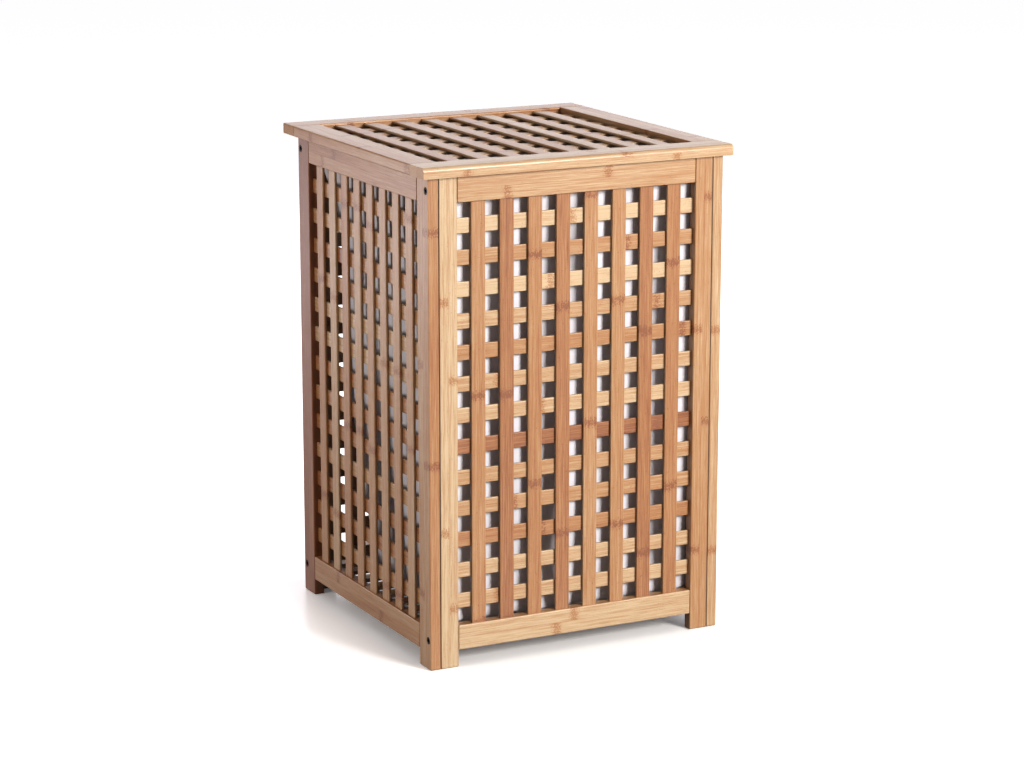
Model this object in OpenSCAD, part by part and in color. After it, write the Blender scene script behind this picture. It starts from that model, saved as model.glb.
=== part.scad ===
// Laundry hamper of bamboo lattice panels with a hinged lattice lid and a fabric bag.
//
// Two side panels run the full depth, and a front and a back panel fit between them.
// Eight bolts through the side panels' stiles hold the four panels together, and the
// stiles run down past the bottom rails to make four L-shaped legs. A slatted floor lies
// on two battens. The bag hangs from grip tapes inside the top rails. The lid reaches
// further out at the back than at the front, and turns on two hinges there.
//
// X runs to the right, Y to the back and Z up, in millimetres. The origin is on the
// floor, under the middle of the lid.

/* [Lid] */
// Width of the lid, left to right
lid_w = 400; // [370:1:440]
// Depth of the lid, front to back
lid_d = 400; // [370:1:440]
// Width of the lid's front rail
lid_front_rail_w = 37; // [30:1:45]
// Width of the lid's back rail
lid_back_rail_w = 33; // [30:1:45]
// Width of the lid's left and right rails
lid_side_rail_w = 34; // [28:1:45]
// Radius of the rounded top edge along the front of the lid
lid_nose_r = 5; // [2:0.5:8]

/* [Body] */
// Height of the body, from the floor to the underside of the lid
body_h = 575; // [480:5:640]
// How far the lid stands out past each side
side_overhang = 9; // [4:1:14]
// How far the lid stands out past the front
front_overhang = 8; // [4:1:14]
// How far the lid stands out past the back, over the hinges
back_overhang = 26; // [24:1:32]
// Thickness of every panel frame and of the lid frame
board_t = 13; // [13:0.5:16]
// Width of the front and back panels' stiles
stile_w = 23.5; // [23.5:0.5:32]
// Width of the side panels' stiles
side_stile_w = 30; // [26:1:40]
// Height of the top and bottom rails
rail_h = 30; // [26:1:40]
// Height of the gap under the bottom rails
leg_gap = 20; // [10:1:40]

/* [Lattice] */
// Width of every slat
slat_w = 18; // [14:0.5:20]
// Thickness of every slat in the panels and the lid
slat_t = 3.5; // [3:0.5:5]
// How far the outer slats are set back from the face of their frame
slat_recess = 2.5; // [1:0.5:2.5]
// Number of upright slats in a panel
upright_count = 8; // [6:1:9]
// Number of cross slats in a panel
cross_count = 13; // [9:1:14]
// Number of slats each way in the lid
lid_slat_count = 8; // [6:1:9]
// How deep slats and rails reach into their mortises
joint_depth = 5; // [3:0.5:5]

/* [Floor] */
// Number of floor slats
floor_slat_count = 9; // [6:1:12]
// Thickness of the floor's slats
floor_slat_t = 5; // [4:0.5:6]
// Height of the floor's upper surface
floor_z = 41; // [38:1:44]
// Width and height of the battens under the floor
batten_size = 12; // [8:1:14]

/* [Bag] */
// Clearance between the bag and the panels, which the grip tapes fill
bag_clearance = 2; // [1.5:0.5:4]
// Thickness of the bag's wall and bottom
bag_t = 2; // [1.5:0.5:3]
// Height of the bag's bottom above the floor
bag_bottom_z = 52; // [46:1:70]
// Half the width of the bag's bottom at the back
bag_back_half_w = 132; // [110:1:160]
// How far the bag's bottom stays away from the back panel
bag_back_gap = 34; // [10:1:60]

/* [Hinges] */
// Distance between the middles of the two hinges
hinge_spacing = 220; // [120:10:260]
// Width of a hinge leaf
hinge_w = 35; // [30:1:50]
// Thickness of a hinge leaf
leaf_t = 1.2; // [1:0.1:1.5]
// Radius of the hinge pin
pin_r = 1.5; // [1.2:0.1:1.5]

/* [Hidden] */
$fn = 48;

SIDES = [-1, 1];
SLAT_NAMES = [for (i = [1:lid_slat_count]) str(i)];

// Outline of the body
body_w = lid_w - 2 * side_overhang;
body_d = lid_d - front_overhang - back_overhang;
front_y = -lid_d / 2 + front_overhang;
back_y = lid_d / 2 - back_overhang;
mid_y = (front_y + back_y) / 2;
inner_w = body_w - 2 * board_t;
inner_d = body_d - 2 * board_t;
top_rail_z = body_h - rail_h;
bottom_rail_z = leg_gap;
opening_z = bottom_rail_z + rail_h;

// Depths of the two layers of slats, measured inwards from the face of the frame
upright_depth = slat_recess;
cross_depth = slat_recess + slat_t;

// Lid
lid_top_z = body_h + board_t;
lid_opening_w = lid_w - 2 * lid_side_rail_w;
lid_opening_d = lid_d - lid_front_rail_w - lid_back_rail_w;
lid_opening_y = -lid_d / 2 + lid_front_rail_w;

// Tenons on the ends of the rails
tenon_t = 5;
tenon_inset = 4;

// Furniture bolts and their barrel nuts
bolt_r = 2.5;
bolt_hole_r = 2.75;
bolt_head_r = 4.25;
bolt_head_h = 5;
bolt_sink = 0.5;
bolt_l = 25;
bolt_socket_r = 2.3;
bolt_socket_depth = 2.5;
counterbore_r = 4.75;
counterbore_depth = bolt_sink + bolt_head_h;
bolt_hole_l = counterbore_depth + bolt_l + bolt_sink;
nut_r = 4;
nut_l = 10;
nut_edge = 12;
nut_slot_w = 1;

// Hinges: the pin stands off the body's back face and the lid's underside by pivot_gap
pivot_gap = 3;
pivot_y = back_y + pivot_gap;
pivot_z = body_h - pivot_gap;
knuckle_r = 2.6;
knuckle_gap = 0.3;
pin_clearance = 0.05;
middle_knuckle_w = hinge_w / 3;
body_leaf_h = 22;
lid_leaf_d = 20;
body_screw_z = -14;
lid_screw_y = 13;
hinge_screw_x = hinge_w * 0.32;
hinge_screw_r = 1.5;
hinge_screw_head_r = 2.7;
hinge_screw_l = 9;

// Screws that hold the battens to the side panels' bottom rails
batten_screw_r = 1.75;
batten_screw_head_r = 3.2;
batten_screw_head_h = 1.6;
batten_screw_l = batten_size + 8;
batten_screw_pitch = inner_d * 0.35;
batten_end_gap = 2;
floor_slat_end_gap = 1;

// Bag: its bottom is narrower than its mouth by bag_front_taper on each side in front, and
// starts bag_front_lean further back. Its corners are cut off by these amounts. It is drawn
// between two slabs, slab_h high.
bag_top_z = body_h - 3;
bag_top_cut = 8;
bag_front_cut = 10;
bag_back_cut = 36;
bag_front_taper = 5;
bag_front_half_w = inner_w / 2 - bag_clearance - bag_front_taper;
bag_front_lean = 6;
slab_h = 0.5;
tape_w = 25;
tape_l = 240;

// Cross-shaped recesses of the screws, as shares of their heads' radius
recess_reach = 0.6;
recess_w = 0.25;
recess_depth = 0.3;

BAMBOO = "burlywood";
BAMBOO_DARK = "peru";
STEEL = "dimgray";

// The gap between slats that share out an opening evenly
function slat_gap(opening, count) = (opening - count * slat_w) / (count + 1);

// Where slat i starts in an opening
function slat_at(opening, count, i) =
    slat_gap(opening, count) + i * (slat_gap(opening, count) + slat_w);

// ---- Panels. Each is drawn with its outer face on y = 0, its width along x, centred, and
// its thickness towards +y, then stood in its place.

module as_front_panel() translate([0, front_y, 0]) children();
module as_back_panel() translate([0, back_y, 0]) rotate(180) children();
module as_left_panel() translate([-body_w / 2, mid_y, 0]) rotate(-90) children();
module as_right_panel() translate([body_w / 2, mid_y, 0]) rotate(90) children();

module upright_slats(panel_w, stile) {
    opening = panel_w - 2 * stile;
    for (i = [0:upright_count - 1])
        translate([
            -opening / 2 + slat_at(opening, upright_count, i),
            upright_depth,
            opening_z - joint_depth
        ])
            cube([slat_w, slat_t, top_rail_z - opening_z + 2 * joint_depth]);
}

module cross_slats(panel_w, stile) {
    opening = panel_w - 2 * stile;
    height = top_rail_z - opening_z;
    for (i = [0:cross_count - 1])
        translate([
            -opening / 2 - joint_depth,
            cross_depth,
            opening_z + slat_at(height, cross_count, i)
        ])
            cube([opening + 2 * joint_depth, slat_t, slat_w]);
}

module rail_tenons(panel_w, stile, z) {
    length = panel_w - 2 * stile + 2 * joint_depth;
    translate([-length / 2, (board_t - tenon_t) / 2, z + tenon_inset])
        cube([length, tenon_t, rail_h - 2 * tenon_inset]);
}

module rail(panel_w, stile, z) {
    difference() {
        union() {
            translate([-panel_w / 2 + stile, 0, z])
                cube([panel_w - 2 * stile, board_t, rail_h]);
            rail_tenons(panel_w, stile, z);
        }
        upright_slats(panel_w, stile);
    }
}

// side is -1 for the stile at the lower x and 1 for the one at the higher x
module stile(panel_w, stile, side) {
    difference() {
        translate([side * (panel_w - stile) / 2 - stile / 2, 0, 0])
            cube([stile, board_t, body_h]);
        cross_slats(panel_w, stile);
        rail_tenons(panel_w, stile, bottom_rail_z);
        rail_tenons(panel_w, stile, top_rail_z);
    }
}

// A stile of the front or back panel, with the bolts' and barrel nuts' holes. The back
// panel is the front one turned round, so the front's holes serve both.
module end_stile(side) {
    difference() {
        stile(inner_w, stile_w, side);
        translate([0, -front_y, 0]) {
            bolt_holes();
            nut_holes();
        }
    }
}

module front_left_stile() color(BAMBOO) as_front_panel() end_stile(-1);
module front_right_stile() color(BAMBOO) as_front_panel() end_stile(1);
module back_left_stile() color(BAMBOO) as_back_panel() end_stile(1);
module back_right_stile() color(BAMBOO) as_back_panel() end_stile(-1);

module front_top_rail() color(BAMBOO) as_front_panel() rail(inner_w, stile_w, top_rail_z);
module front_bottom_rail() color(BAMBOO) as_front_panel() rail(inner_w, stile_w, bottom_rail_z);
module back_bottom_rail() color(BAMBOO) as_back_panel() rail(inner_w, stile_w, bottom_rail_z);
module back_top_rail() {
    color(BAMBOO) difference() {
        as_back_panel() rail(inner_w, stile_w, top_rail_z);
        hinge_body_screw_shanks();
    }
}

module front_upright_slats() color(BAMBOO) as_front_panel() upright_slats(inner_w, stile_w);
module front_cross_slats() color(BAMBOO_DARK) as_front_panel() cross_slats(inner_w, stile_w);
module back_upright_slats() color(BAMBOO) as_back_panel() upright_slats(inner_w, stile_w);
module back_cross_slats() color(BAMBOO_DARK) as_back_panel() cross_slats(inner_w, stile_w);

// A stile of a side panel, before the bolts' holes are cut. The left panel's lower x is at
// the back of the hamper, and the right panel's is at the front.
module side_stile(side) stile(body_d, side_stile_w, side);

module left_front_stile() {
    color(BAMBOO) difference() {
        as_left_panel() side_stile(1);
        bolt_holes();
    }
}

module left_back_stile() {
    color(BAMBOO) difference() {
        as_left_panel() side_stile(-1);
        bolt_holes();
    }
}

module right_front_stile() {
    color(BAMBOO) difference() {
        as_right_panel() side_stile(-1);
        bolt_holes();
    }
}

module right_back_stile() {
    color(BAMBOO) difference() {
        as_right_panel() side_stile(1);
        bolt_holes();
    }
}

module side_rail(z) rail(body_d, side_stile_w, z);

module left_top_rail() color(BAMBOO) as_left_panel() side_rail(top_rail_z);
module right_top_rail() color(BAMBOO) as_right_panel() side_rail(top_rail_z);
module left_bottom_rail() {
    color(BAMBOO) difference() {
        as_left_panel() side_rail(bottom_rail_z);
        batten_screw_shanks();
    }
}

module right_bottom_rail() {
    color(BAMBOO) difference() {
        as_right_panel() side_rail(bottom_rail_z);
        batten_screw_shanks();
    }
}

module left_upright_slats() color(BAMBOO) as_left_panel() upright_slats(body_d, side_stile_w);
module left_cross_slats() color(BAMBOO_DARK) as_left_panel() cross_slats(body_d, side_stile_w);
module right_upright_slats() color(BAMBOO) as_right_panel() upright_slats(body_d, side_stile_w);
module right_cross_slats() color(BAMBOO_DARK) as_right_panel() cross_slats(body_d, side_stile_w);

// ---- Furniture bolts: two on each edge of each side panel

// Puts children at each bolt, with z = 0 on the side panel's outer face and +z inwards
module at_bolts() {
    for (side = SIDES)
        for (y = [front_y + board_t / 2, back_y - board_t / 2])
            for (z = [bottom_rail_z, top_rail_z])
                translate([side * body_w / 2, y, z + rail_h / 2])
                    rotate([0, -side * 90, 0])
                        children();
}

module bolt_holes() {
    at_bolts() {
        cylinder(r = counterbore_r, h = counterbore_depth);
        cylinder(r = bolt_hole_r, h = bolt_hole_l);
    }
}

module corner_bolts() {
    color(STEEL) at_bolts() difference() {
        translate([0, 0, bolt_sink]) {
            cylinder(r = bolt_head_r, h = bolt_head_h);
            cylinder(r = bolt_r, h = bolt_head_h + bolt_l);
        }
        cylinder(r = bolt_socket_r, h = bolt_sink + bolt_socket_depth, $fn = 6);
    }
}

// Puts children at each barrel nut, with z = 0 on the panel's inner face and +z outwards
module at_nuts() {
    for (side = SIDES)
        for (end = [[front_y + board_t, 90], [back_y - board_t, -90]])
            for (z = [bottom_rail_z, top_rail_z])
                translate([side * (inner_w / 2 - nut_edge), end[0], z + rail_h / 2])
                    rotate([end[1], 0, 0])
                        children();
}

module nut_holes() {
    at_nuts() cylinder(r = nut_r, h = board_t / 2 + nut_l / 2);
}

module corner_barrel_nuts() {
    color(STEEL) at_nuts() difference() {
        translate([0, 0, (board_t - nut_l) / 2]) cylinder(r = nut_r, h = nut_l);
        translate([0, 0, board_t / 2]) rotate([0, 90, 0])
            cylinder(r = bolt_r, h = 3 * nut_r, center = true);
        translate([-nut_slot_w / 2, -nut_r, 0])
            cube([nut_slot_w, 2 * nut_r, (board_t - nut_l) / 2 + nut_slot_w]);
    }
}

// ---- Floor

module batten(side) {
    color(BAMBOO) difference() {
        translate([
            side * (inner_w - batten_size) / 2 - batten_size / 2,
            front_y + board_t + batten_end_gap,
            floor_z - floor_slat_t - batten_size
        ])
            cube([batten_size, inner_d - 2 * batten_end_gap, batten_size]);
        batten_screw_shanks();
        batten_screw_heads();
    }
}

module floor_left_batten() batten(-1);
module floor_right_batten() batten(1);

module floor_slats() {
    length = inner_w - 2 * floor_slat_end_gap;
    gap = slat_gap(inner_d, floor_slat_count);
    color(BAMBOO_DARK)
        for (i = [0:floor_slat_count - 1])
            translate([
                -length / 2,
                front_y + board_t + slat_at(inner_d, floor_slat_count, i),
                floor_z - floor_slat_t
            ])
                cube([length, slat_w, floor_slat_t]);
}

// Puts children at each batten screw, with z = 0 on the batten's inner face and +z outwards
module at_batten_screws() {
    for (side = SIDES)
        for (step = [-1:1])
            translate([
                side * (inner_w / 2 - batten_size),
                mid_y + step * batten_screw_pitch,
                floor_z - floor_slat_t - batten_size / 2
            ])
                rotate([0, side * 90, 0])
                    children();
}

module batten_screw_shanks() {
    at_batten_screws() cylinder(r = batten_screw_r, h = batten_screw_l);
}

module batten_screw_heads() {
    at_batten_screws()
        cylinder(r1 = batten_screw_head_r, r2 = batten_screw_r, h = batten_screw_head_h);
}

module batten_screws() {
    color(STEEL) difference() {
        union() {
            batten_screw_shanks();
            batten_screw_heads();
        }
        at_batten_screws() cross_recess(batten_screw_head_r);
    }
}

// The cross-shaped recess in a screw's head of radius r, whose flat face is at z = 0
module cross_recess(r) {
    for (angle = [0, 90])
        rotate(angle)
            translate([-recess_reach * r, -recess_w * r / 2, -recess_depth * r])
                cube([2 * recess_reach * r, recess_w * r, 2 * recess_depth * r]);
}

// ---- Bag

// The bag's outline, shrunk by inset: a four-cornered shape with its corners cut off
module bag_outline(front_half_w, back_half_w, y0, y1, front_cut, back_cut, inset) {
    offset(delta = -inset) hull()
        for (side = SIDES) {
            translate([side * (front_half_w - front_cut), y0 + front_cut])
                circle(r = front_cut, $fn = 4);
            translate([side * (back_half_w - back_cut), y1 - back_cut])
                circle(r = back_cut, $fn = 4);
        }
}

// The bag's shape from z0 to z1, shrunk by inset
module bag_body(inset, z0, z1) {
    top_half_w = inner_w / 2 - bag_clearance;
    top_y0 = front_y + board_t + bag_clearance;
    top_y1 = back_y - board_t - bag_clearance;
    hull() {
        translate([0, 0, z1 - slab_h]) linear_extrude(slab_h)
            bag_outline(top_half_w, top_half_w, top_y0, top_y1, bag_top_cut, bag_top_cut, inset);
        translate([0, 0, z0]) linear_extrude(slab_h)
            bag_outline(bag_front_half_w, bag_back_half_w, top_y0 + bag_front_lean,
                top_y1 - bag_back_gap, bag_front_cut, bag_back_cut, inset);
    }
}

module laundry_bag() {
    color("white") difference() {
        bag_body(0, bag_bottom_z, bag_top_z);
        bag_body(bag_t, bag_bottom_z + bag_t, bag_top_z + 2 * slab_h);
    }
}

// Hook-and-loop tapes on the inside of the four top rails, which the bag's hem clings to
module bag_grip_tapes() {
    color("whitesmoke") {
        for (y = [front_y + board_t, back_y - board_t - bag_clearance])
            translate([-tape_l / 2, y, bag_top_z - tape_w])
                cube([tape_l, bag_clearance, tape_w]);
        for (x = [-inner_w / 2, inner_w / 2 - bag_clearance])
            translate([x, mid_y - tape_l / 2, bag_top_z - tape_w])
                cube([bag_clearance, tape_l, tape_w]);
    }
}

// ---- Lid

// The front rail's section, looking along x, with its nose at y = 0 and its base at z = 0
function lid_nose_profile() = concat(
    [[lid_front_rail_w, board_t], [lid_front_rail_w, 0], [0, 0]],
    [for (a = [180:-10:90]) [
        lid_nose_r + lid_nose_r * cos(a),
        board_t - lid_nose_r + lid_nose_r * sin(a)
    ]]
);

module lid_side_tenons() {
    for (side = SIDES)
        translate([
            side * (lid_w - lid_side_rail_w) / 2 - lid_side_rail_w / 2 + tenon_inset,
            lid_opening_y - joint_depth,
            body_h + (board_t - tenon_t) / 2
        ])
            cube([
                lid_side_rail_w - 2 * tenon_inset,
                lid_opening_d + 2 * joint_depth,
                tenon_t
            ]);
}

module lid_front_rail() {
    color(BAMBOO) difference() {
        translate([-lid_w / 2, -lid_d / 2, body_h])
            rotate([90, 0, 90])
                linear_extrude(lid_w)
                    polygon(lid_nose_profile());
        lid_side_tenons();
        lid_long_slats();
    }
}

module lid_back_rail() {
    color(BAMBOO) difference() {
        translate([-lid_w / 2, lid_d / 2 - lid_back_rail_w, body_h])
            cube([lid_w, lid_back_rail_w, board_t]);
        lid_side_tenons();
        lid_long_slats();
        hinge_lid_screw_shanks();
    }
}

// side is -1 for the left rail and 1 for the right rail
module lid_side_rail(side) {
    x = side * (lid_w - lid_side_rail_w) / 2 - lid_side_rail_w / 2;
    color(BAMBOO) difference() {
        union() {
            translate([x, lid_opening_y, body_h])
                cube([lid_side_rail_w, lid_opening_d, board_t]);
            intersection() {
                lid_side_tenons();
                translate([x, -lid_d / 2, body_h]) cube([lid_side_rail_w, lid_d, board_t]);
            }
        }
        lid_cross_slats();
    }
}

module lid_left_rail() lid_side_rail(-1);
module lid_right_rail() lid_side_rail(1);

module lid_long_slat(i) {
    color(BAMBOO)
        translate([
            -lid_opening_w / 2 + slat_at(lid_opening_w, lid_slat_count, i),
            lid_opening_y - joint_depth,
            lid_top_z - slat_recess - slat_t
        ])
            cube([slat_w, lid_opening_d + 2 * joint_depth, slat_t]);
}

module lid_cross_slat(i) {
    color(BAMBOO_DARK)
        translate([
            -lid_opening_w / 2 - joint_depth,
            lid_opening_y + slat_at(lid_opening_d, lid_slat_count, i),
            lid_top_z - slat_recess - 2 * slat_t
        ])
            cube([lid_opening_w + 2 * joint_depth, slat_w, slat_t]);
}

module lid_long_slats() for (i = [0:lid_slat_count - 1]) lid_long_slat(i);
module lid_cross_slats() for (i = [0:lid_slat_count - 1]) lid_cross_slat(i);

// ---- Hinges: one leaf on the body's back face and one under the lid's overhang

module at_hinge(side) {
    translate([side * hinge_spacing / 2, pivot_y, pivot_z]) children();
}

// A tube along x from x0 to x1, round the pin
module knuckle(x0, x1) {
    translate([x0, 0, 0]) rotate([0, 90, 0]) cylinder(r = knuckle_r, h = x1 - x0);
}

module pin_bore(r) {
    rotate([0, 90, 0]) cylinder(r = r, h = 2 * hinge_w, center = true);
}

module hinge_body_leaf(side) {
    color(STEEL) difference() {
        at_hinge(side) difference() {
            union() {
                translate([-hinge_w / 2, -pivot_gap, -body_leaf_h])
                    cube([hinge_w, leaf_t, body_leaf_h - pivot_gap]);
                for (end = SIDES) {
                    x0 = end < 0 ? -hinge_w / 2 : middle_knuckle_w / 2 + knuckle_gap;
                    x1 = end < 0 ? -middle_knuckle_w / 2 - knuckle_gap : hinge_w / 2;
                    knuckle(x0, x1);
                    translate([x0, -pivot_gap, -pivot_gap - leaf_t])
                        cube([x1 - x0, leaf_t, pivot_gap + leaf_t]);
                }
            }
            pin_bore(pin_r);
        }
        hinge_body_screw_heads();
    }
}

module hinge_lid_leaf(side) {
    color(STEEL) difference() {
        at_hinge(side) difference() {
            union() {
                translate([-hinge_w / 2, pivot_gap, pivot_gap - leaf_t])
                    cube([hinge_w, lid_leaf_d - pivot_gap, leaf_t]);
                knuckle(-middle_knuckle_w / 2, middle_knuckle_w / 2);
                translate([-middle_knuckle_w / 2, 0, pivot_gap - leaf_t])
                    cube([middle_knuckle_w, pivot_gap + leaf_t, leaf_t]);
            }
            pin_bore(pin_r + pin_clearance);
        }
        hinge_lid_screw_heads();
    }
}

module hinge_pin(side) {
    color(STEEL) at_hinge(side) rotate([0, 90, 0])
        cylinder(r = pin_r, h = hinge_w, center = true);
}

module left_hinge_body_leaf() hinge_body_leaf(-1);
module right_hinge_body_leaf() hinge_body_leaf(1);
module left_hinge_lid_leaf() hinge_lid_leaf(-1);
module right_hinge_lid_leaf() hinge_lid_leaf(1);
module left_hinge_pin() hinge_pin(-1);
module right_hinge_pin() hinge_pin(1);

// Puts children at each screw of the body leaves, with z = 0 on the leaf's outer surface
// and +z into the back top rail
module at_hinge_body_screws() {
    for (side = SIDES)
        for (end = SIDES)
            at_hinge(side)
                translate([end * hinge_screw_x, -pivot_gap + leaf_t, body_screw_z])
                    rotate([90, 0, 0])
                        children();
}

// Puts children at each screw of the lid leaves, with z = 0 on the leaf's lower surface
// and +z up into the lid's back rail
module at_hinge_lid_screws() {
    for (side = SIDES)
        for (end = SIDES)
            at_hinge(side)
                translate([end * hinge_screw_x, lid_screw_y, pivot_gap - leaf_t])
                    children();
}

module hinge_screw_head() {
    cylinder(r1 = hinge_screw_head_r, r2 = hinge_screw_r, h = leaf_t);
}

module hinge_screw_shank() {
    cylinder(r = hinge_screw_r, h = leaf_t + hinge_screw_l);
}

module hinge_screw() {
    difference() {
        union() {
            hinge_screw_head();
            hinge_screw_shank();
        }
        cross_recess(hinge_screw_head_r);
    }
}

module hinge_body_screw_heads() at_hinge_body_screws() hinge_screw_head();
module hinge_lid_screw_heads() at_hinge_lid_screws() hinge_screw_head();
module hinge_body_screw_shanks() at_hinge_body_screws() hinge_screw_shank();
module hinge_lid_screw_shanks() at_hinge_lid_screws() hinge_screw_shank();
module hinge_body_screws() color(STEEL) at_hinge_body_screws() hinge_screw();
module hinge_lid_screws() color(STEEL) at_hinge_lid_screws() hinge_screw();

// ---- One line for each node

front_left_stile();
front_right_stile();
front_top_rail();
front_bottom_rail();
front_upright_slats();
front_cross_slats();
back_left_stile();
back_right_stile();
back_top_rail();
back_bottom_rail();
back_upright_slats();
back_cross_slats();
left_front_stile();
left_back_stile();
left_top_rail();
left_bottom_rail();
left_upright_slats();
left_cross_slats();
right_front_stile();
right_back_stile();
right_top_rail();
right_bottom_rail();
right_upright_slats();
right_cross_slats();
floor_left_batten();
floor_right_batten();
floor_slats();
batten_screws();
corner_bolts();
corner_barrel_nuts();
laundry_bag();
bag_grip_tapes();
lid_front_rail();
lid_back_rail();
lid_left_rail();
lid_right_rail();
for (i = [0:lid_slat_count - 1]) {
    lid_long_slat(i);
    lid_cross_slat(i);
}
left_hinge_body_leaf();
left_hinge_lid_leaf();
left_hinge_pin();
right_hinge_body_leaf();
right_hinge_lid_leaf();
right_hinge_pin();
hinge_body_screws();
hinge_lid_screws();
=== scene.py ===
"""Looks of a bamboo lattice laundry hamper: its wood, its steel and the cotton bag in it."""

import math
import random

import bpy
import numpy as np
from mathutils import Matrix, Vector, noise


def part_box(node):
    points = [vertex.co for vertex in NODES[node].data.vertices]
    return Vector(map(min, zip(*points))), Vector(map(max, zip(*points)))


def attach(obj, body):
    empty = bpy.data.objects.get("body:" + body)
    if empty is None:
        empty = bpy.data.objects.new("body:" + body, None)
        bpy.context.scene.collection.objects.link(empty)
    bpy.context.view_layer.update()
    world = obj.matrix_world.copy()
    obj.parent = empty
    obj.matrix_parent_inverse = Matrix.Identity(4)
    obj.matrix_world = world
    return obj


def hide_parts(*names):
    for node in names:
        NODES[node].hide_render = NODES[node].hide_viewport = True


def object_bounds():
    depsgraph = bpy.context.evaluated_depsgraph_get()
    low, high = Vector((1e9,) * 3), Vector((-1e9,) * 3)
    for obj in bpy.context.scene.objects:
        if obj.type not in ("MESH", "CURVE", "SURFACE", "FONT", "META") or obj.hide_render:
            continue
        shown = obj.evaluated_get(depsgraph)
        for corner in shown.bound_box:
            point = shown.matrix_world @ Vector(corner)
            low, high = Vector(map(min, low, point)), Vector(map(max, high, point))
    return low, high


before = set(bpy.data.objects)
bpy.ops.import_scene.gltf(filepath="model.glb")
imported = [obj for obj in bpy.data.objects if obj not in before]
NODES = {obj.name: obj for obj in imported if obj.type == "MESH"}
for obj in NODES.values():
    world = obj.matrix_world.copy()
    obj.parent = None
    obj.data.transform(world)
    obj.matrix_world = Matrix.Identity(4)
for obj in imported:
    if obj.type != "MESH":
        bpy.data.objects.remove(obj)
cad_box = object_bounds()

X, Y, Z = 0, 1, 2
SIDES = (-1, 1)

# Slats in each panel and in the floor, and the width that they all have
UPRIGHT_COUNT = 8
CROSS_COUNT = 13
FLOOR_SLAT_COUNT = 9
SLAT_W = 0.018


# ---- Camera, light and floor. Azimuth 0 is in front, and grows towards the right side.

CAMERA_AZIMUTH = -27.04
CAMERA_ELEVATION = 13.14
CAMERA_DISTANCE = 3.650
CAMERA_LENS_MM = 106.1
# What the camera looks at, as shares of the object's box
CAMERA_TARGET = (0.5, 0.44, 0.4855)

FLOOR_SIZE = 80.0
# How strongly the floor glows under the hamper and far from it, and how far out from the
# middle the glow begins to rise and is full. The weaker glow round and under the hamper
# is a painted shadow.
FLOOR_GLOW_AND_PAINTED_SHADOW = (0.12, 0.56)
PAINTED_SHADOW_EDGE = (0.17, 0.36)


def direction(azimuth, elevation):
    """From the object towards a point at that azimuth and elevation, in degrees."""
    a = math.radians(azimuth)
    e = math.radians(elevation)
    return Vector((math.sin(a) * math.cos(e), -math.cos(a) * math.cos(e), math.sin(e)))


def in_box(shares):
    low, high = cad_box
    return Vector([a + (b - a) * share for a, b, share in zip(low, high, shares)])


def aim(thing, target, azimuth, elevation, distance):
    """Puts a camera or light that far from target, pointing at it."""
    back = direction(azimuth, elevation)
    thing.location = target + back * distance
    thing.rotation_mode = "QUATERNION"
    thing.rotation_quaternion = (-back).to_track_quat("-Z", "Y")


def add_object(name, data):
    made = bpy.data.objects.new(name, data)
    bpy.context.scene.collection.objects.link(made)
    return made


def make_camera():
    data = bpy.data.cameras.new("camera")
    data.lens = CAMERA_LENS_MM
    data.sensor_width = 36
    data.clip_end = 100
    camera = add_object("camera", data)
    aim(camera, in_box(CAMERA_TARGET), CAMERA_AZIMUTH, CAMERA_ELEVATION, CAMERA_DISTANCE)
    bpy.context.scene.camera = camera


def area_light(name, azimuth, elevation, distance, size, power, colour):
    """Adds a softbox of that width and height, which shines at the middle of the object."""
    data = bpy.data.lights.new(name, "AREA")
    data.shape = "RECTANGLE"
    data.size, data.size_y = size
    data.energy = power
    data.color = colour
    light = add_object(name, data)
    light.visible_camera = False
    aim(light, in_box((0.5, 0.5, 0.5)), azimuth, elevation, distance)


def make_world():
    """Soft white light from all round, stronger from above, and plain white to the camera."""
    strength = 0.70
    seen_brightness = 1.05
    tree = Tree("studio", is_world=True)
    height = tree.axes("Generated")[Z]
    sky = tree.ramp(height, [(0.0, (0.10, 0.095, 0.11)), (0.9, (1.0, 0.985, 1.0))])
    seen = tree.node("ShaderNodeLightPath", {}, "Is Camera Ray")
    white = [seen_brightness / strength] * 3
    tree.surface(Color=tree.mix(seen, sky, white), Strength=strength)
    bpy.context.scene.world = tree.owner


def make_lights():
    """A warm key from the front right, a wide light behind, and two small ones on the left."""
    make_world()
    area_light("key", 20, 20, 3.4, size=(1.0, 1.0), power=150, colour=(1.0, 0.97, 0.935))
    area_light("back", 165, 16, 3.0, size=(3.0, 1.4), power=21, colour=(0.95, 0.93, 1.0))
    area_light("left_back", -145, -3.5, 2.2, size=(0.5, 0.4), power=3.8, colour=(0.93, 0.91, 1.0))
    area_light("left", -86, 13, 1.4, size=(0.5, 0.4), power=8.0, colour=(1.0, 0.94, 0.89))
    view = bpy.context.scene.view_settings
    view.view_transform = "Standard"
    view.look = "None"
    view.gamma = 0.8


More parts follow.
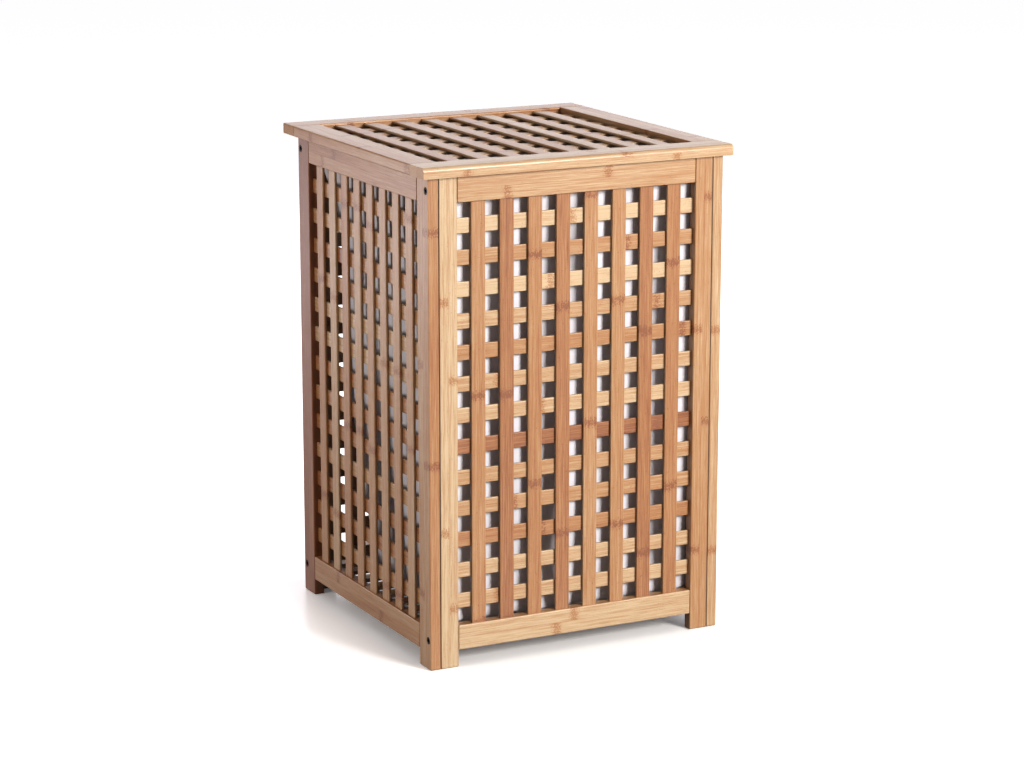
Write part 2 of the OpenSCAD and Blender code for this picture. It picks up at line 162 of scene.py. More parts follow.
def make_floor():
    """White paper that glows round the hamper, and less underneath it, where the weaker glow is a
    painted shadow.

    Only the camera sees the glow, and light that bounces off the floor is weaker, so that
    the hamper isn't lit from below."""
    half = FLOOR_SIZE / 2
    mesh = bpy.data.meshes.new("floor")
    corners = [(-half, -half, 0), (half, -half, 0), (half, half, 0), (-half, half, 0)]
    mesh.from_pydata(corners, [], [(0, 1, 2, 3)])
    floor = add_object("floor", mesh)
    tree = Tree("floor_paper")
    bounced = tree.node("ShaderNodeLightPath", {}, "Is Diffuse Ray")
    seen = tree.node("ShaderNodeLightPath", {}, "Is Camera Ray")
    x, y, _ = tree.axes("Object")
    out = tree.math("MAXIMUM", tree.math("ABSOLUTE", x), tree.math("ABSOLUTE", y))
    # The glow is weaker near and under the hamper: a painted shadow round its foot.
    glow = tree.span(tree.step(out, *PAINTED_SHADOW_EDGE), *FLOOR_GLOW_AND_PAINTED_SHADOW)
    white, dim = (1.0, 1.0, 1.0), (0.22, 0.22, 0.22)
    tree.surface(
        Base_Color=tree.ramp(bounced, [(0.0, white), (1.0, dim)]),
        Roughness=0.3,
        Emission_Color=(1.0, 1.0, 1.0),
        Emission_Strength=tree.times(seen, glow),
    )
    mesh.materials.append(tree.owner)


# ---- Node trees


class Tree:
    """The nodes of a material or a world. Every value that a call takes is a number or socket."""

    def __init__(self, name, is_world=False):
        self.owner = (bpy.data.worlds if is_world else bpy.data.materials).new(name)
        self.owner.use_nodes = True
        self.nodes = self.owner.node_tree.nodes
        self.links = self.owner.node_tree.links
        self.shader = self.nodes.get("Principled BSDF") or self.nodes["Background"]

    def put(self, socket, value):
        if isinstance(value, bpy.types.NodeSocket):
            self.links.new(value, socket)
        elif socket.type == "RGBA":
            socket.default_value = (*value, 1)
        else:
            socket.default_value = value

    def surface(self, **values):
        """Sets the shader's inputs, named as in Blender with _ for a space."""
        for name, value in values.items():
            self.put(self.shader.inputs[name.replace("_", " ")], value)

    def node(self, kind, inputs, output=0, **settings):
        made = self.nodes.new(kind)
        for key, value in settings.items():
            setattr(made, key, value)
        for key, value in inputs.items():
            self.put(made.inputs[key], value)
        return made.outputs[output]

    def math(self, operation, a, b=0.0, c=0.0):
        return self.node("ShaderNodeMath", {0: a, 1: b, 2: c}, operation=operation)

    def times(self, a, b):
        return self.math("MULTIPLY", a, b)

    def add(self, a, b):
        return self.math("ADD", a, b)

    def vary(self, base, noise_value, amount):
        """base plus a noise, which is 0.5 on average, stretched to amount."""
        centred = self.math("SUBTRACT", noise_value, 0.5)
        return self.math("MULTIPLY_ADD", centred, amount, base)

    def axes(self, source):
        """The three parts of a texture coordinate, in metres for Object."""
        point = self.node("ShaderNodeTexCoord", {}, source)
        split = self.nodes.new("ShaderNodeSeparateXYZ")
        self.links.new(point, split.inputs[0])
        return list(split.outputs)

    def vector(self, x, y, z):
        return self.node("ShaderNodeCombineXYZ", {0: x, 1: y, 2: z})

    def noise(self, vector, scale=1.0, detail=2.0, roughness=0.5):
        inputs = {"Vector": vector, "Scale": scale, "Detail": detail, "Roughness": roughness}
        return self.node("ShaderNodeTexNoise", inputs)

    def random(self, vector):
        """A random number from 0 to 1 for each vector."""
        return self.node("ShaderNodeTexWhiteNoise", {"Vector": vector})

    def step(self, value, low, high):
        """0 at low and 1 at high, smooth in between. low may be the larger one."""
        if low > high:
            return self.math("SUBTRACT", 1.0, self.step(value, high, low))
        inputs = {"Value": value, "From Min": low, "From Max": high}
        return self.node("ShaderNodeMapRange", inputs, interpolation_type="SMOOTHSTEP")

    def span(self, value, low, high):
        """value from 0 to 1 stretched to low to high."""
        return self.math("MULTIPLY_ADD", value, high - low, low)

    def ramp(self, factor, stops, interpolation="LINEAR"):
        made = self.nodes.new("ShaderNodeValToRGB")
        elements = made.color_ramp.elements
        made.color_ramp.interpolation = interpolation
        while len(elements) < len(stops):
            elements.new(1.0)
        for element, (position, colour) in zip(elements, stops):
            element.position = position
            element.color = (*colour, 1)
        self.put(made.inputs[0], factor)
        return made.outputs[0]

    def mix(self, factor, a, b):
        """Colour a at a factor of 0 and colour b at 1."""
        made = self.nodes.new("ShaderNodeMix")
        made.data_type = "RGBA"
        for name, value in (("Factor_Float", factor), ("A_Color", a), ("B_Color", b)):
            socket = next(item for item in made.inputs if item.identifier == name)
            self.put(socket, value)
        return next(item for item in made.outputs if item.identifier == "Result_Color")

    def bump(self, height, distance, strength=1.0):
        inputs = {"Height": height, "Distance": distance, "Strength": strength}
        self.surface(Normal=self.node("ShaderNodeBump", inputs))


# ---- Bamboo

# Tones of a strip of bamboo, from the palest to the darkest, and their colours
CREAM = 0.0
LIGHT = 0.25
TAN = 0.5
ORANGE = 0.75
UMBER = 1.0
TONE_COLOURS = [
    (CREAM, (0.53, 0.405, 0.26)),
    (LIGHT, (0.44, 0.285, 0.16)),
    (TAN, (0.38, 0.20, 0.086)),
    (ORANGE, (0.325, 0.145, 0.055)),
    (UMBER, (0.225, 0.08, 0.028)),
]

# The tones of the pieces that show most, at the front and on the left. A group of slats is
# from left to right or from bottom to top.
CHOSEN_TONES = {
    "front_left_stile": [0.09],
    "front_right_stile": [0.42],
    "front_top_rail": [0.30],
    "front_bottom_rail": [0.16],
    "front_upright_slats": [0.54, 0.80, 0.60, 0.72, 0.48, 0.50, 0.76, 0.66],
    "front_cross_slats": [
        0.20, 0.16, 0.58, 0.42, 0.32, 0.86, 0.14, 0.24, 0.50, 0.30, 0.00, 0.40, 0.00,
    ],
    "left_front_stile": [0.38],
    "left_top_rail": [0.56],
    "left_back_stile": [1.00],
    "lid_left_rail": [0.36],
    "right_front_stile": [0.12],
    "lid_front_rail": [0.12],
}

# The range of tones that a piece which isn't listed takes its own from
PANEL_SLAT_TONES = (0.15, 0.85)
LID_SLAT_TONES = (0.24, 0.58)
BOARD_TONES = (0.15, 0.55)

# The shadow and dust in the joint between two boards that lie side by side, and how far
# from the joint they end and are full
SEAM_COLOUR = (0.055, 0.022, 0.010)
SEAM_EDGE = (0.0017, 0.0007)

# Width of the strips that a board is glued up from, and distance between a culm's nodes
FRAME_STRIP_W = 0.0155
CULM_NODE_PITCH = 0.27

# How far the edges of slats and of boards are rounded
SLAT_EASE = 0.0010
BOARD_EASE = 0.0015

# Two points nearer to each other than this are the same one
SAME = 1e-5

# How far from a slat's edge its sanding reaches, and half the width of a glue line
SANDED_W = 0.0016
GLUE_HALF_W = 0.0007


def strip_tone(tree, tones, index, chance):
    """The tone of the strip with that index, as listed, or round the only one listed."""
    if len(tones) == 1:
        return tree.vary(tones[0], chance, 0.12)
    share = tree.math("DIVIDE", tree.add(index, 0.5), len(tones))
    stops = [(i / len(tones), (tone, tone, tone)) for i, tone in enumerate(tones)]
    return tree.ramp(share, stops, "CONSTANT")


def scaled(tree, point, along, across):
    """point, stretched so that a noise makes streaks along the grain."""
    u, v, w = point
    return tree.vector(tree.times(u, along), tree.times(v, across), tree.times(w, across))


def culm_nodes(tree, point, index, chance):
    """The knuckles across each strip: how near one is, and the mark that it leaves."""
    u, v, _ = point
    wave = tree.noise(tree.vector(tree.times(v, 45), index, 0.0), detail=1)
    at = tree.add(tree.math("MULTIPLY_ADD", wave, 0.008, u), tree.times(chance, 7.3))
    turn = tree.math("FRACT", tree.math("DIVIDE", at, CULM_NODE_PITCH))
    away = tree.times(tree.math("ABSOLUTE", tree.math("SUBTRACT", turn, 0.5)), CULM_NODE_PITCH)
    near = tree.step(away, 0.0105, 0.0)
    fleck = tree.noise(scaled(tree, point, 430, 620), detail=2, roughness=0.6)
    level = tree.math("MULTIPLY_ADD", near, 0.25, fleck)
    flecks = tree.step(level, 0.63, 0.75)
    return near, flecks


def bamboo(name, along, across, tones, start, pitch, seed, slat_w=None, seam=None):
    """Bamboo whose grain runs along one axis, and whose strips lie side by side across.

    Strips are counted from start in steps of pitch. slat_w is their width where each is a
    slat of its own. seam is where, across the grain, the board butts against another."""
    tree = Tree(name)
    spots = tree.axes("Object")
    third = 3 - along - across
    point = (spots[along], spots[across], spots[third])
    place = tree.math("DIVIDE", tree.math("SUBTRACT", point[1], start), pitch)
    index = tree.math("FLOOR", place)
    chance = tree.random(tree.vector(index, seed, 0.0))
    tone = strip_tone(tree, tones, index, chance)

    fibre = tree.noise(scaled(tree, point, 30, 1300), detail=3, roughness=0.65)
    streak = tree.noise(scaled(tree, point, 7, 380), detail=2)
    drift = tree.noise(tree.vector(tree.times(point[0], 4), index, seed), detail=1)
    pore = tree.noise(scaled(tree, point, 60, 2100), detail=1)
    dash = tree.step(pore, 0.68, 0.76)
    near, mark = culm_nodes(tree, point, index, tree.random(tree.vector(index, seed, 1.0)))

    depth = tree.vary(tone, fibre, 1.2)
    depth = tree.vary(depth, streak, 0.7)
    depth = tree.vary(depth, drift, 0.45)
    depth = tree.math("MULTIPLY_ADD", dash, 0.2, depth)
    depth = tree.math("MULTIPLY_ADD", near, 0.10, depth)
    depth = tree.math("MULTIPLY_ADD", mark, 0.38, depth)

    # Sanded edges are a little paler, and the glue line between two strips a little darker
    from_middle = tree.math("ABSOLUTE", tree.math("SUBTRACT", tree.math("FRACT", place), 0.5))
    if slat_w:
        edge = tree.step(tree.times(from_middle, pitch), slat_w / 2 - SANDED_W, slat_w / 2)
        depth = tree.math("MULTIPLY_ADD", edge, -0.14, depth)
    else:
        glue = tree.step(tree.times(from_middle, pitch), pitch / 2 - GLUE_HALF_W, pitch / 2)
        depth = tree.math("MULTIPLY_ADD", glue, 0.16, depth)

    # Sawn ends are darker, with the ends of the fibres as dots
    facing = tree.axes("Normal")[along]
    sawn = tree.step(tree.math("ABSOLUTE", facing), 0.6, 0.9)
    dots = tree.noise(scaled(tree, point, 1, 1500), detail=1)
    ends = tree.vary(tree.add(tone, 0.25), dots, 1.4)
    depth = tree.add(tree.times(depth, tree.math("SUBTRACT", 1.0, sawn)), tree.times(ends, sawn))

    colour = tree.ramp(depth, TONE_COLOURS)
    if seam is not None:
        gap = tree.math("ABSOLUTE", tree.math("SUBTRACT", point[1], seam))
        colour = tree.mix(tree.step(gap, *SEAM_EDGE), colour, SEAM_COLOUR)

    relief = tree.math("MULTIPLY_ADD", mark, -0.35, fibre)
    tree.surface(
        Base_Color=colour,
        Roughness=tree.add(tree.span(fibre, 0.36, 0.50), tree.times(sawn, 0.25)),
        Specular_IOR_Level=0.5,
        Coat_Weight=0.45,
        Coat_Roughness=0.28,
    )
    tree.bump(relief, 0.00015, 0.5)
    return tree.owner


def mark_corners(node, across, thick):
    """Groups a board's outer corners, and no point of its holes, mortises and tenons."""
    low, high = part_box(node.name)
    group = node.vertex_groups.new(name="corners")
    for vertex in node.data.vertices:
        at = vertex.co
        if all(min(at[k] - low[k], high[k] - at[k]) < SAME for k in (across, thick)):
            group.add([vertex.index], 1.0, "REPLACE")


def ease_edges(node, width):
    """Joins a CAD node's split faces again and rounds its edges a little."""
    weld = node.modifiers.new("weld", "WELD")
    weld.merge_threshold = SAME
    flat = node.modifiers.new("flat", "DECIMATE")
    flat.decimate_type = "DISSOLVE"
    flat.angle_limit = math.radians(1)
    bevel = node.modifiers.new("ease", "BEVEL")
    bevel.width = width
    bevel.segments = 2
    if "corners" in node.vertex_groups:
        bevel.limit_method = "VGROUP"
        bevel.vertex_group = "corners"
    else:
        bevel.limit_method = "ANGLE"
        bevel.angle_limit = math.radians(40)
    smooth(node.data)
    weigh = node.modifiers.new("normals", "WEIGHTED_NORMAL")
    weigh.keep_sharp = True
    weigh.weight = 100


def smooth(mesh):
    mesh.polygons.foreach_set("use_smooth", [True] * len(mesh.polygons))


def paint(name, material):
    """Gives a CAD node its material."""
    materials = NODES[name].data.materials
    materials.clear()
    materials.append(material)


def wood(name, along, across, seed, slat_count=0, tones=None):
    """Makes a CAD node bamboo. slat_count is the number of slats that it holds, if any."""
    low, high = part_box(name)
    width = high[across] - low[across]
    chance = random.Random(seed)
    if slat_count > 1:
        pitch = (width - SLAT_W) / (slat_count - 1)
        start = low[across] - (pitch - SLAT_W) / 2
        tones = tones or [chance.uniform(*PANEL_SLAT_TONES) for _ in range(slat_count)]
        material = bamboo(name, along, across, tones, start, pitch, seed, SLAT_W)
    elif slat_count == 1:
        tones = tones or [chance.uniform(*LID_SLAT_TONES)]
        material = bamboo(name, along, across, tones, low[across], width, seed, width)
    else:
        strips = max(1, round(width / FRAME_STRIP_W))
        tones = tones or [chance.uniform(*BOARD_TONES)]
        seam = None
        if name.endswith("stile") and across == X:
            seam = low.x if "_left_" in name else high.x
        pitch = width / strips
        material = bamboo(name, along, across, tones, low[across], pitch, seed, seam=seam)
    paint(name, material)
    if not slat_count and name != "lid_front_rail":
        mark_corners(NODES[name], across, 3 - along - across)
    ease_edges(NODES[name], SLAT_EASE if slat_count else BOARD_EASE)


def wooden_pieces():
    """Each wooden node's name, grain axis, axis across the grain, and number of slats."""
    for panel, wide, ends in (
        ("front", X, ("left", "right")),
        ("back", X, ("left", "right")),
        ("left", Y, ("front", "back")),
        ("right", Y, ("front", "back")),
    ):
        for end in ends:
            yield f"{panel}_{end}_stile", Z, wide, 0
        for level in ("top", "bottom"):
            yield f"{panel}_{level}_rail", wide, Z, 0
        yield f"{panel}_upright_slats", Z, wide, UPRIGHT_COUNT
        yield f"{panel}_cross_slats", wide, Z, CROSS_COUNT
    for end in ("front", "back"):
        yield f"lid_{end}_rail", X, Y, 0
    for side in ("left", "right"):
        yield f"lid_{side}_rail", Y, X, 0
        yield f"floor_{side}_batten", Y, X, 0
    for name in sorted(NODES):
        if name.startswith("lid_long_slat"):
            yield name, Y, X, 1
        elif name.startswith("lid_cross_slat"):
            yield name, X, Y, 1
    yield "floor_slats", X, Y, FLOOR_SLAT_COUNT


# ---- Steel


def dark_steel():
    """Blackened bolts, with brown worn through on the rims."""
    tree = Tree("dark_steel")
    point = tree.node("ShaderNodeTexCoord", {}, "Object")
    worn = tree.step(tree.noise(point, 900, detail=3), 0.55, 0.75)
    colour = tree.ramp(worn, [(0.0, (0.018, 0.016, 0.015)), (1.0, (0.09, 0.065, 0.05))])
    tree.surface(Base_Color=colour, Metallic=0.85, Roughness=tree.span(worn, 0.42, 0.6))
    tree.bump(tree.noise(point, 2500, detail=1), 0.00005, 0.4)
    return tree.owner


def zinc_steel():
    """Zinc-plated steel, with the fine brush marks of its rolling."""
    tree = Tree("zinc_steel")
    x, y, z = tree.axes("Object")
    brushed = tree.noise(tree.vector(tree.times(x, 60), tree.times(y, 4000), tree.times(z, 4000)))
    cloud = tree.noise(tree.vector(x, y, z), 240, detail=2)
    colour = tree.ramp(cloud, [(0.3, (0.57, 0.57, 0.55)), (0.7, (0.63, 0.63, 0.62))])
    tree.surface(Base_Color=colour, Metallic=1.0, Roughness=tree.span(brushed, 0.24, 0.46))
    tree.bump(brushed, 0.00003, 0.4)
    return tree.owner


def paint_steel():
    dark = dark_steel()
    zinc = zinc_steel()
    paint("corner_bolts", dark)
    for name in NODES:
        if "hinge" in name or name in ("batten_screws", "corner_barrel_nuts"):
            paint(name, zinc)


# ---- Bag: an outline lofted from bottom to mouth, which hangs from its hem as cloth

BAG_NAME = "laundry_bag"
BAG_CLOTH_T = 0.0008
# How far the edge of the bag's base hangs above the bottom of the space that laundry fills.
# The middle of the base sags onto the floor slats.
BAG_LIFT = 0.012
# How far the bag's outline stays inside that space, all round and at the mouth
BAG_EASE = 0.001

# How much narrower than the mouth the base is on each side, in front and behind, and how
# far it stands back from the mouth's front and back edges
BASE_FRONT_TAPER = 0.006
BASE_BACK_TAPER = 0.044
BASE_FRONT_LEAN = 0.002
BASE_BACK_LEAN = 0.032
# Radii of the outline's corners
MOUTH_CORNER_R = 0.014
BASE_FRONT_CORNER_R = 0.018
BASE_BACK_CORNER_R = 0.060

# Height of a row of faces in the wall, rows of faces in the base, and faces along each
# corner and each side
BAG_ROW_H = 0.0065
BASE_ROWS = 22
ARC_STEPS = 5
SIDE_STEPS = 48
# How deep the folds are that the bag starts with, how much broad and fine ones vary, and
# how many of each fit in a metre, roughly
FOLD_DEPTH = 0.0075
BROAD_FOLD = 0.019
FINE_FOLD = 0.007
BROAD_PER_M = 13
FINE_PER_M = 34
# Where they have died out near the mouth, as a share of the height, and how far they take
# to grow from there, from the base's seam and from a front corner
FOLDS_END = 0.95
GROW_FROM_MOUTH = 0.15
GROW_FROM_BASE = 0.12
GROW_FROM_CORNER = 0.06

# Steps of the cloth simulation, how much the cloth grows in it so that it hangs loosely,
# and the gap that it keeps to what it touches
HANG_STEPS = 25
CLOTH_GROWTH = 0.022
CLOTH_GAP = 0.001

HEM_H = 0.026
HEM_T = 0.0016
SEAM_ALLOWANCE = 0.010
BACK_SEAM_W = 0.009
BACK_SEAM_T = 0.0011
PIPING_R = 0.0011
PIPING_SIDES = 8
STITCH_PITCH = 0.0032
STITCH_L = 0.0024
STITCH_R = 0.00032
STITCH_SIDES = 6
# How far above the hem's lower edge its stitches run
STITCH_UP = 0.0025


class Outline:
    """A four-cornered outline with rounded corners, wider in front than behind."""

    def __init__(self, front_half, back_half, front, back, front_r, back_r):
        self.corners = [
            (Vector((-front_half, front)), front_r),
            (Vector((front_half, front)), front_r),
            (Vector((back_half, back)), back_r),
            (Vector((-back_half, back)), back_r),
        ]

    def arc(self, number):
        """Points round one corner."""
        corner, radius = self.corners[number]
        before = (self.corners[number - 1][0] - corner).normalized()
        after = (self.corners[(number + 1) % 4][0] - corner).normalized()
        half = before.angle(after) / 2
        middle = (before + after).normalized()
        centre = corner + middle * (radius / math.sin(half))
        reach = math.pi / 2 - half
        made = []
        for step in range(ARC_STEPS + 1):
            turn = reach * (2 * step / ARC_STEPS - 1)
            c, s = math.cos(turn), math.sin(turn)
            out = -middle
            made.append(centre + radius * Vector((out.x * c - out.y * s, out.x * s + out.y * c)))
        return made

    def points(self):
        """Points all the way round, anticlockwise from the front left corner."""
        arcs = [self.arc(number) for number in range(4)]
        made = []
        for number in range(4):
            made += arcs[number]
            start, end = arcs[number][-1], arcs[(number + 1) % 4][0]
            made += [start.lerp(end, k / SIDE_STEPS) for k in range(1, SIDE_STEPS)]
        return made


def between(a, b, share):
    """a at a share of 0 and b at 1."""
    return a + (b - a) * share


def bag_outline(share):
    """The bag's outline at a share of its height."""
    low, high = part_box(BAG_NAME)
    return Outline(
        front_half=between(high.x - BASE_FRONT_TAPER, high.x, share) - BAG_EASE,
        back_half=between(high.x - BASE_BACK_TAPER, high.x, share) - BAG_EASE,
        front=between(low.y + BASE_FRONT_LEAN, low.y, share) + BAG_EASE,
        back=between(high.y - BASE_BACK_LEAN, high.y, share) - BAG_EASE,
        front_r=between(BASE_FRONT_CORNER_R, MOUTH_CORNER_R, share),
        back_r=between(BASE_BACK_CORNER_R, MOUTH_CORNER_R, share),
    ).points()


def fold_depth(point, share):
    """How far the cloth hangs inwards of its outline at a point, in soft upright folds.

    The folds die out at the hem, at the seam round the base and at the two front corners."""
    low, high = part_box(BAG_NAME)
    from_corner = Vector((abs(point.x) - high.x, point.y - low.y)).length
    from_end = max(0.0, min((FOLDS_END - share) / GROW_FROM_MOUTH, share / GROW_FROM_BASE))
    freedom = min(1.0, from_end) * min(1.0, from_corner / GROW_FROM_CORNER)
    broad = noise.noise(Vector((point.x * BROAD_PER_M, point.y * BROAD_PER_M, share * 1.6)))
    fine = noise.noise(Vector((point.x * FINE_PER_M + 5, point.y * FINE_PER_M, share * 2.8)))
    return freedom * max(0.0, FOLD_DEPTH + BROAD_FOLD * broad + FINE_FOLD * fine)


def bag_rings():
    """Rings of points from the middle of the base out to its edge and up to the mouth."""
    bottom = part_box(BAG_NAME)[0].z + BAG_LIFT
    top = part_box(BAG_NAME)[1].z - BAG_EASE
    base = bag_outline(0.0)
    middle = sum(base, Vector((0, 0))) / len(base)
    rings = []
    for row in range(1, BASE_ROWS):
        share = row / BASE_ROWS
        rings.append([Vector((*middle.lerp(p, share), bottom)) for p in base])
    rows = round((top - bottom) / BAG_ROW_H)
    for row in range(rows + 1):
        share = row / rows
        ring = []
        for p in bag_outline(share):
            inwards = (middle - p).normalized()
            p = p + inwards * fold_depth(p, share)
            ring.append(Vector((p.x, p.y, between(bottom, top, share))))
        rings.append(ring)
    return rings


def ring_mesh(name, rings, closed_start):
    """A mesh of quads between rings, with a fan inside the first one if it is closed."""
    count = len(rings[0])
    points = [p for ring in rings for p in ring]
    faces = []
    for row in range(len(rings) - 1):
        for k in range(count):
            a, b = row * count + k, row * count + (k + 1) % count
            faces.append((a, b, b + count, a + count))
    if closed_start:
        points.append(sum(rings[0], Vector((0, 0, 0))) / count)
        faces += [(len(points) - 1, (k + 1) % count, k) for k in range(count)]
    mesh = bpy.data.meshes.new(name)
    mesh.from_pydata(points, [], faces)
    smooth(mesh)
    return mesh


def hang_bag(bag, pinned):
    """Lets the bag hang from its pinned points inside the panels, as cloth."""
    held = bag.vertex_groups.new(name="held")
    held.add(pinned, 1.0, "REPLACE")
    cloth = bag.modifiers.new("cloth", "CLOTH")
    cloth.settings.quality = 6
    cloth.settings.mass = 0.15
    cloth.settings.tension_stiffness = 20
    cloth.settings.compression_stiffness = 12
    cloth.settings.shear_stiffness = 8
    cloth.settings.bending_stiffness = 0.8
    cloth.settings.air_damping = 4
    cloth.settings.vertex_group_mass = "held"
    cloth.settings.shrink_min = -CLOTH_GROWTH
    cloth.collision_settings.use_self_collision = False
    cloth.collision_settings.distance_min = CLOTH_GAP
    cage = make_cage()
    for step in range(1, HANG_STEPS + 1):
        bpy.context.scene.frame_set(step)
    shape = bag.evaluated_get(bpy.context.evaluated_depsgraph_get())
    points = np.array([v.co for v in shape.data.vertices])
    bag.modifiers.remove(cloth)
    bpy.context.scene.frame_set(1)
    bpy.data.objects.remove(cage)
    bag.data.vertices.foreach_set("co", points.ravel())
    bag.data.update()


def make_cage():
    """The space inside the panels and above the floor slats, which the cloth can't leave.

    Its walls reach past the mouth, so that the cloth can't slip over them."""
    above_mouth = 0.1
    low = Vector((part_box("left_top_rail")[1].x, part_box("front_top_rail")[1].y, 0))
    high = Vector((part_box("right_top_rail")[0].x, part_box("back_top_rail")[0].y, 0))
    low.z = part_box("floor_slats")[1].z
    high.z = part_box(BAG_NAME)[1].z + above_mouth
    corners = [
        (x, y, z) for z in (low.z, high.z) for x, y in (
            (low.x, low.y), (high.x, low.y), (high.x, high.y), (low.x, high.y),
        )
    ]
    walls = [(k, (k + 1) % 4, (k + 1) % 4 + 4, k + 4) for k in range(4)]
    mesh = bpy.data.meshes.new("cage")
    mesh.from_pydata(corners, [], [(3, 2, 1, 0), *walls])
    mesh.flip_normals()
    cage = add_object("cage", mesh)
    cage.modifiers.new("collision", "COLLISION")
    cage.collision.thickness_outer = CLOTH_GAP
    cage.collision.cloth_friction = 8
    return cage


def cotton(name, colour):
    """Plain-woven cotton: fine crossed threads, slubs and a little fuzz."""
    tree = Tree(name)
    x, y, z = tree.axes("Object")
    level = tree.step(tree.math("ABSOLUTE", tree.axes("Normal")[Z]), 0.5, 0.8)
    rise = tree.math("MULTIPLY_ADD", level, tree.math("SUBTRACT", x, y), z)
    round_it = tree.add(x, y)
    # Radians per metre, for waves 0.7 mm long
    turn = 9000
    warp = tree.math("SINE", tree.times(round_it, turn))
    weft = tree.math("SINE", tree.times(rise, turn))
    weave = tree.times(warp, weft)
    slub_u = tree.noise(tree.vector(tree.times(round_it, 900), tree.times(rise, 25), 0.0), detail=1)
    slub_v = tree.noise(tree.vector(tree.times(round_it, 25), tree.times(rise, 900), 7.0), detail=1)
    cloud = tree.noise(tree.vector(x, y, z), 14, detail=2)
    shade = tree.vary(tree.vary(tree.vary(0.5, slub_u, 0.5), slub_v, 0.5), cloud, 0.5)
    dark = [part * 0.90 for part in colour]
    colour_at = tree.ramp(shade, [(0.2, dark), (0.8, colour)])
    tree.surface(
        Base_Color=colour_at,
        Roughness=tree.span(shade, 0.95, 0.8),
        Sheen_Weight=0.25,
        Sheen_Roughness=0.5,
        Specular_IOR_Level=0.25,
    )
    tree.bump(tree.math("MULTIPLY_ADD", weave, 0.25, shade), 0.0002, 0.6)
    return tree.owner


def grip_tape():
    """Hook-and-loop tape: close rows of small hooks under a matted pile."""
    tree = Tree("grip_tape")
    x, y, z = tree.axes("Object")
    # Radians per metre, for waves 1.6 mm long
    turn = 3900
    hooks = tree.times(
        tree.math("SINE", tree.times(tree.add(x, y), turn)), tree.math("SINE", tree.times(z, turn))
    )
    pile = tree.noise(tree.vector(x, y, z), 1400, detail=2)
    colour = tree.ramp(pile, [(0.3, (0.62, 0.60, 0.57)), (0.7, (0.80, 0.785, 0.76))])
    tree.surface(Base_Color=colour, Roughness=0.85, Sheen_Weight=0.3, Specular_IOR_Level=0.3)
    tree.bump(tree.add(hooks, tree.times(pile, 2.0)), 0.0003, 0.7)
    return tree.owner


class Place:
    """A point on the bag's wall, with its directions along the hem and into the bag."""

    def __init__(self, ring, k):
        self.point = ring[k]
        self.along = (ring[(k + 1) % len(ring)] - ring[k - 1]).normalized()
        self.inwards = Vector((-self.along.y, self.along.x, 0)).normalized()

    def at(self, along=0.0, inwards=0.0, up=0.0):
        return self.point + self.along * along + self.inwards * inwards + Vector((0, 0, up))


def sewn_piece(name, mesh, cloth):
    """A piece of the bag that was sewn to its cloth."""
    mesh.materials.append(cloth)
    smooth(mesh)
    piece = add_object(name, mesh)
    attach(piece, "root")
    return piece


def band_mesh(name, sections, closed):
    """A mesh through rings of points, joined end to end if closed, or else capped."""
    count = len(sections[0])
    rows = len(sections) if closed else len(sections) - 1
    faces = []
    for row in range(rows):
        start, after = row * count, (row + 1) % len(sections) * count
        for k in range(count):
            beside = (k + 1) % count
            faces.append((start + k, start + beside, after + beside, after + k))
    if not closed:
        last = (len(sections) - 1) * count
        faces.append(tuple(reversed(range(count))))
        faces.append(tuple(range(last, last + count)))
    mesh = bpy.data.meshes.new(name)
    mesh.from_pydata([p for section in sections for p in section], [], faces)
    return mesh


def make_hem(mouth, cloth):
    """The mouth's edge, folded in twice and sewn down.

    Each point of the profile is how far it lies into the bag and above the mouth's edge."""
    profile = [
        (0.0002, 0.0003 - HEM_H),
        (HEM_T * 0.8, -HEM_H),
        (HEM_T, 0.0012 - HEM_H),
        (HEM_T * 0.85, STITCH_UP - HEM_H),
        (HEM_T * 1.1, -HEM_H / 2),
        (HEM_T * 1.05, -0.0015),
        (HEM_T * 0.6, 0.0003),
        (0.0001, -0.0002),
    ]
    sections = [
        [Place(mouth, k).at(inwards=d, up=up) for d, up in reversed(profile)]
        for k in range(len(mouth))
    ]
    return sewn_piece("bag_hem", band_mesh("bag_hem", sections, True), cloth)


def make_piping(ring, cloth):
    """The seam that joins the bag's wall to its base."""
    sections = []
    for k in range(len(ring)):
        place = Place(ring, k)
        turns = [2 * math.pi * step / PIPING_SIDES for step in range(PIPING_SIDES)]
        sections.append([
            place.at(inwards=PIPING_R * (1 + math.cos(a)), up=PIPING_R * (1 + math.sin(a)))
            for a in turns
        ])
    return sewn_piece("bag_piping", band_mesh("bag_piping", sections, True), cloth)


def make_back_seam(places, cloth):
    """The felled seam down the back, where the two ends of the wall's cloth overlap."""
    half, rise = BACK_SEAM_W / 2, BACK_SEAM_T
    profile = [(-half, 0.0), (half, 0.0), (half, rise * 0.7), (half * 0.8, rise),
               (0.0, rise * 0.8), (-half * 0.8, rise), (-half, rise * 0.7)]
    sections = [[place.at(along, inwards) for along, inwards in profile] for place in places]
    return sewn_piece("bag_back_seam", band_mesh("bag_back_seam", sections, False), cloth)


def along_path(path, pitch, closed=False):
    """Points at equal steps along a path, each with the path's direction there."""
    ends = path[1:] + path[:1] if closed else path[1:]
    ahead = pitch / 2
    for a, b in zip(path, ends):
        length = (b - a).length
        while ahead < length:
            yield a.lerp(b, ahead / length), (b - a) / length
            ahead += pitch
        ahead -= length


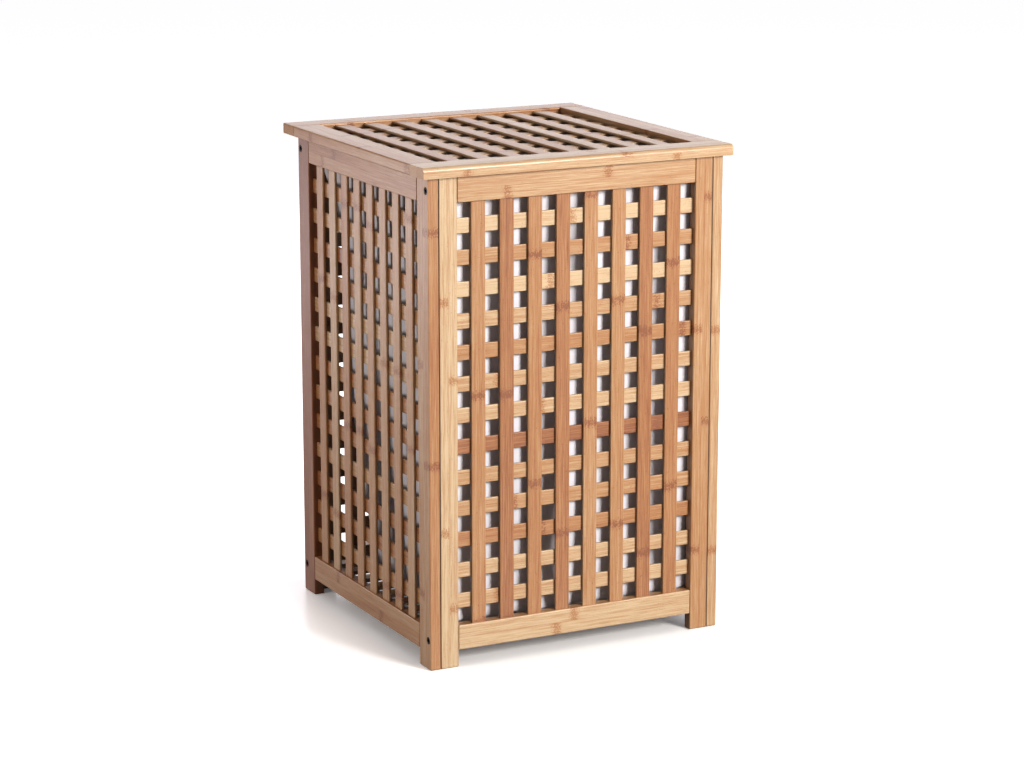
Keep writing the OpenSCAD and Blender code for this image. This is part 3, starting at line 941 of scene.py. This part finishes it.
def make_stitches(name, paths, thread):
    """Rows of stitches: short threads with sunk ends, on each path."""
    points, faces = [], []
    shape = [(-0.5, 0.3), (-0.36, 1.0), (0.0, 1.15), (0.36, 1.0), (0.5, 0.3)]
    for path, closed in paths:
        for centre, way in along_path(path, STITCH_PITCH, closed):
            side = way.orthogonal().normalized()
            other = way.cross(side)
            start = len(points)
            for along, thick in shape:
                for k in range(STITCH_SIDES):
                    a = 2 * math.pi * k / STITCH_SIDES
                    out = (side * math.cos(a) + other * math.sin(a)) * thick * STITCH_R
                    points.append(centre + way * along * STITCH_L + out)
            for row in range(len(shape) - 1):
                for k in range(STITCH_SIDES):
                    a = start + row * STITCH_SIDES + k
                    b = start + row * STITCH_SIDES + (k + 1) % STITCH_SIDES
                    faces.append((a, b, b + STITCH_SIDES, a + STITCH_SIDES))
            end = len(points) - STITCH_SIDES
            faces.append(tuple(reversed(range(start, start + STITCH_SIDES))))
            faces.append(tuple(range(end, end + STITCH_SIDES)))
    mesh = bpy.data.meshes.new(name)
    mesh.from_pydata(points, [], faces)
    return sewn_piece(name, mesh, thread)


def hung_rings(bag, count):
    """The hung bag's rings of points, from the middle of the base to the mouth."""
    points = [vertex.co.copy() for vertex in bag.data.vertices]
    return [points[start:start + count] for start in range(0, len(points) - 1, count)]


def ring_length(ring):
    return sum((a - b).length for a, b in zip(ring, ring[1:] + ring[:1]))


def sew_bag(rings, cloth):
    """Adds the hem, seams and stitches, and works out the sizes that the wall's and the base's
    cloth were cut to.
    """
    mouth, base = rings[-1], rings[BASE_ROWS - 1]
    thread = cotton("bag_thread", (0.80, 0.795, 0.81))
    hem_rows = math.ceil(HEM_H / BAG_ROW_H)
    back = 2 * (ARC_STEPS + SIDE_STEPS) + ARC_STEPS + SIDE_STEPS // 2
    seam_places = [Place(ring, back) for ring in rings[BASE_ROWS:-hem_rows]]
    hem_row = [
        Place(mouth, k).at(inwards=HEM_T * 0.85, up=STITCH_UP - HEM_H) for k in range(len(mouth))
    ]
    seam_row_at = BACK_SEAM_W * 0.4
    seam_rows = [
        [place.at(side * seam_row_at, BACK_SEAM_T) for place in seam_places] for side in SIDES
    ]
    pieces = [
        make_hem(mouth, cloth),
        make_piping(base, cloth),
        make_back_seam(seam_places, cloth),
        make_stitches("bag_hem_stitches", [(hem_row, True)], thread),
        make_stitches("bag_seam_stitches", [(row, False) for row in seam_rows], thread),
    ]
    wall_w = ring_length(mouth) + 2 * SEAM_ALLOWANCE
    base_w = max(p.x for p in base) - min(p.x for p in base) + 2 * SEAM_ALLOWANCE
    base_d = max(p.y for p in base) - min(p.y for p in base) + 2 * SEAM_ALLOWANCE


def make_bag():
    """Hangs the cloth that stands for the CAD bag, and sews on its hem and seams."""
    rings = bag_rings()
    count = len(rings[0])
    bag = add_object("laundry_bag_cloth", ring_mesh("laundry_bag_cloth", rings, True))
    cloth = cotton("bag_cotton", (0.71, 0.705, 0.75))
    bag.data.materials.append(cloth)
    hem_rows = math.ceil(HEM_H / BAG_ROW_H)
    first_held = (len(rings) - 1 - hem_rows) * count
    hang_bag(bag, list(range(first_held, len(rings) * count)))
    thick = bag.modifiers.new("thickness", "SOLIDIFY")
    thick.thickness = BAG_CLOTH_T
    thick.offset = 1
    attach(bag, "root")
    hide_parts(BAG_NAME)
    sew_bag(hung_rings(bag, count), cloth)


make_camera()
make_lights()
make_floor()

for number, (name, along, across, slat_count) in enumerate(wooden_pieces()):
    wood(name, along, across, number, slat_count, CHOSEN_TONES.get(name))
paint_steel()
paint("bag_grip_tapes", grip_tape())
make_bag()
